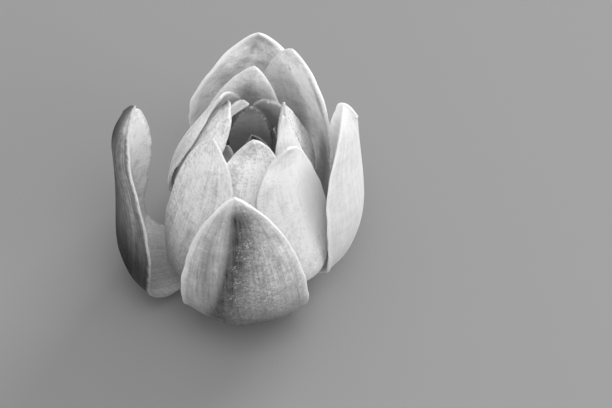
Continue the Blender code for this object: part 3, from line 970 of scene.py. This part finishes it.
def turned_shell(profile, section, relief, part, count, sides):
    """A shell turned round the axis: radius times the section, then the relief along the profile's
    own normal. Section, relief and part are functions of angle, radius and height."""
    path = np.stack(along_path(corner_cut(profile, 3), np.linspace(0, 1, count)), axis=-1)
    way = np.gradient(path, axis=0)
    way = way / np.linalg.norm(way, axis=1, keepdims=True)
    angle = np.linspace(0, 2 * np.pi, sides, endpoint=False)[None, :]
    radius, height = path[:, :1], path[:, 1:]
    shift = relief(angle, radius, height)
    reach = radius * section(angle, radius, height) + shift * way[:, 1:]
    points = turned(reach, 0, height - shift * way[:, :1], angle)[::-1]
    values = {"part": part(angle, radius, height)[::-1]}
    return points, np.linspace(1, 0, count)[:, None], angle / (2 * np.pi), values


# %% The receptacle
def receptacle_section(angle, radius, height):
    """Round at the stem and the sepals' seat, four-cornered like the bud above them."""
    return 1 + np.clip((height - 4.5) / 1.4, 0, 1) * (corner_factor(angle, height) - 1)


def receptacle_relief(angle, radius, height):
    """Fine ribs up the stem, a lobe for each chamber of the ovary, and air canals in the cut."""
    stem = smooth(3.2 - height) * smooth(height / 0.4)
    ribs = 0.07 * np.cos(38 * angle + 0.8 * np.sin(3 * angle)) + 0.05 * np.sin(11 * angle + 1)
    lobes = 0.1 * np.cos(CHAMBERS * angle) * smooth((height - 14.6) / 0.8)
    pits = np.zeros(np.broadcast(angle, height).shape)
    for number, ring, size, depth in CUT_CANALS:
        for k in range(number):
            turn = 2 * np.pi * (k + 0.5) / number
            square = radius**2 + ring**2 - 2 * radius * ring * np.cos(angle - turn)
            pits = pits + depth * np.exp(-((square / size**2) ** 3))
    on_cut = smooth((0.05 - height) / 0.05) * smooth((5.1 - radius) / 0.2)
    return stem * ribs + lobes * smooth(radius / 2.0) - pits * on_cut


def is_cut(angle, radius, height):
    """One on the pale cut face of the stem."""
    return smooth((0.12 - height) / 0.1)


receptacle = skin_piece("receptacle_skin", [turned_shell(
    [(0.05, 0), (5.3, 0), (5.4, 0), (5.4, 0.3), (5.4, 2.2), (5.85, 3.3), (5.85, 4.5), (5.35, 5.9),
     (5.35, 7), (5.05, 8.5), (5.05, 9.6), (4.8, 10.5), (4.8, 11.6), (4.55, 12.9), (4.55, 14.3),
     (3.9, 14.7), (3.8, 16), (3.4, 17.3), (2.6, 18.2), (1.6, 18.6), (0.05, 18.7)],
    receptacle_section, receptacle_relief, is_cut, count=150, sides=168)])
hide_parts("receptacle")
print("receptacle faces:", len(receptacle.data.polygons))

# %% [markdown]
# ## Stigma: a rayed cup
#
# The stigma crowns the ovary. It is a shallow cup with a knob in the middle and a ray over each of
# the twelve chambers below, each ray with a fine groove. It is turned by the same formula.

# %% The stigma
def ray_section(angle, radius, height):
    """The rim stands out a little at the end of each ray."""
    return 1 + 0.06 * np.cos(CHAMBERS * angle)


def ray_mask(angle, radius, height):
    """One along the middle of a ray and none between rays, only out on the disc."""
    return (0.5 + 0.5 * np.cos(CHAMBERS * angle)) ** 2 * smooth((radius - 0.7) / 0.5)


def stigma_relief(angle, radius, height):
    """Rays as low ridges with a groove along the top of each, and a dimpled knob."""
    groove = np.exp(-((np.sin(0.5 * CHAMBERS * angle) / 0.14) ** 2))
    groove = groove * smooth((radius - 0.9) / 0.5)
    on_top = smooth((height - 19.7) / 0.3)
    ridge = 0.16 * ray_mask(angle, radius, height) - 0.07 * groove
    return on_top * ridge + 0.03 * np.cos(5 * angle) * np.exp(-(((radius - 0.6) / 0.3) ** 2))


stigma = skin_piece("stigma_skin", [turned_shell(
    [(0.05, 18.9), (1.5, 18.9), (2.4, 19.1), (3.0, 19.6), (3.1, 20.3), (2.6, 20.45), (1.6, 20.1),
     (0.8, 20.15), (0.65, 20.7), (0.3, 20.95), (0.05, 20.95)],
    ray_section, stigma_relief, ray_mask, count=80, sides=192)])
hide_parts("stigma")
print("stigma faces:", len(stigma.data.polygons))

# %% [markdown]
# ## Stamens: straps with pollen sacs
#
# A water lily's stamens are half petal: a flat strap that carries two long pollen sacs on its inner
# side, ends in a soft point and bends in over the stigma. Two rows of nine stand in a low collar.
# All are rings carried along a middle line, and the seeded heights are those of the solids.

# %% Stamens
STAMENS_PER_ROW = 9
# Each row: how far it is turned in steps, the radius at foot and tip, lowest and highest tip.
STAMEN_ROWS = [(0, 4.9, 4.1, 32, 35), (0.5, 4.8, 3.2, 27, 30)]
STAMEN_FOOT = 15.0
STAMEN_SEAT = 15.3
COLLAR_HEIGHT = 15.4
SACS_START, SACS_END = 0.42, 0.93


def stamen_shell(azimuth, foot_radius, tip_radius, tip_height):
    """One strap: half width and half thickness round each ring, plus two sacs and the groove.

    The middle line's radius goes from foot to tip with the square of t and bows out by a sine.
    """
    t = np.linspace(0, 1, 44)[:, None]
    angle = np.linspace(2 * np.pi, 0, 22, endpoint=False)[None, :]
    radius = foot_radius + (tip_radius - foot_radius) * t**2 + 0.8 * np.sin(np.pi * t)
    radius = radius * corner_factor(np.radians(azimuth), STAMEN_SEAT)
    height = STAMEN_FOOT + (tip_height - STAMEN_FOOT) * t
    ending = np.clip((t - SACS_END) / (1 - SACS_END), 0, 1)
    ending = np.sqrt(np.clip(1 - ending**2, 0.0004, 1))
    wide = 0.7 * (1 - 0.35 * t**3) * ending
    thick = 0.42 * (1 - 0.3 * t) * ending
    anther = smooth((t - SACS_START) / 0.06) * smooth((SACS_END - t) / 0.05)
    inner_side = np.clip(np.sin(angle), 0, 1)
    sacs = 0.24 * anther * np.abs(np.sin(2 * angle)) * (inner_side > 0)
    beads = 0.03 * anther * np.sin(40 * t * np.pi) * inner_side
    depth = -np.sin(angle) * thick - sacs - beads
    turn = np.radians(azimuth) + 0.03 * np.sin(3 * t + azimuth)
    points = turned(radius + depth, np.cos(angle) * wide, height, turn)
    return points, t, angle / (2 * np.pi), {"part": anther * inner_side}


def collar_shell():
    """The collar that roots the stamens: a ring with a section like a rounded square, and ribs.

    Cosine and sine of the section's angle, to the power 0.6, make the rounded square.
    """
    turn = np.linspace(0, 2 * np.pi, 144, endpoint=False)[:, None]
    angle = np.linspace(0, 2 * np.pi, 20, endpoint=False)[None, :]
    side = np.sign(np.cos(angle)) * np.abs(np.cos(angle)) ** 0.6
    lift = np.sign(np.sin(angle)) * np.abs(np.sin(angle)) ** 0.6
    radius = (4.75 + 0.45 * side) * corner_factor(turn, COLLAR_HEIGHT)
    height = COLLAR_HEIGHT + 0.6 * lift + 0.05 * np.cos(36 * turn) * np.clip(lift, 0, 1)
    points = turned(radius, 0, height, turn)
    return points, turn / (2 * np.pi), angle / (2 * np.pi), {"part": 0.0}


random = np.random.default_rng(7)
shells = [collar_shell()]
for i in range(STAMENS_PER_ROW):
    for turned_by, foot_radius, tip_radius, low, high in STAMEN_ROWS:
        azimuth = (i + turned_by) * 360 / STAMENS_PER_ROW
        shells.append(stamen_shell(azimuth, foot_radius, tip_radius, random.uniform(low, high)))
stamens = skin_piece("stamens_skin", shells, wrapped=[0])
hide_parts("stamens")
print("stamen faces:", len(stamens.data.polygons))

# %% [markdown]
# ## Flesh of the heart
#
# The stem is dull and dark with a paler, spongy cut. The stigma is moist, so its rays shine. The
# stamens are matt, with grainy sacs. They share the grain group of the petals, and the part number
# in the mesh picks the second tone.

# %% Flesh material
def flesh_material(name, main, part, mottle, grain, roughness, depth, coat=0.0):
    """Two tones picked by the mesh's part number, times mottle and grain about their middles."""
    material, tree, shader = new_material(name)
    cells = add(tree, "Group", node_tree=skin_grain).outputs
    shade = ramp(tree, stored(tree, "part"), 0, 1, main, part)
    for pattern, amount in ((cells["Mottle"], mottle), (cells["Grain"], grain)):
        factor = compute(tree, "MULTIPLY_ADD", pattern, amount, 1 - 0.5 * amount)
        shade = compute(tree, "MULTIPLY", shade, factor)
    height = compute(tree, "ADD", cells["Grain"], cells["Specks"])
    roughness = ramp(tree, cells["Grain"], 0, 1, roughness - 0.1, roughness + 0.1)
    feed_skin(tree, shader, shade, roughness, height, depth, {
        "Coat Weight": coat, "Coat Roughness": 0.25,
        "Subsurface Weight": 0.3, "Subsurface Scale": 0.6 * MM})
    return material


receptacle.data.materials.append(flesh_material(
    "stem flesh", main=0.16, part=0.5, mottle=0.5, grain=0.5, roughness=0.6, depth=0.1))
stigma.data.materials.append(flesh_material(
    "moist stigma", main=0.32, part=0.55, mottle=0.3, grain=0.3, roughness=0.4, depth=0.05,
    coat=0.4))
stamens.data.materials.append(flesh_material(
    "stamen flesh", main=0.6, part=0.42, mottle=0.2, grain=0.5, roughness=0.65, depth=0.08))
print("heart pieces dressed:", receptacle.name, stigma.name, stamens.name)

# %% Signed volume of each skin, positive where its faces point outwards
def enclosed_volume(thing):
    """The signed volume in cubic millimetres, which is positive when the faces point outwards."""
    skin = bmesh.new()
    skin.from_mesh(thing.data)
    volume = skin.calc_volume(signed=True) / MM**3
    skin.free()
    return volume


for thing in [*blades.values(), receptacle, stigma, stamens]:
    print(thing.name, round(enclosed_volume(thing), 1), "cubic mm")

# %% The size of the visual box
low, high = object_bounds()
print("visual box in mm:", [round(v / MM, 2) for v in low], [round(v / MM, 2) for v in high])
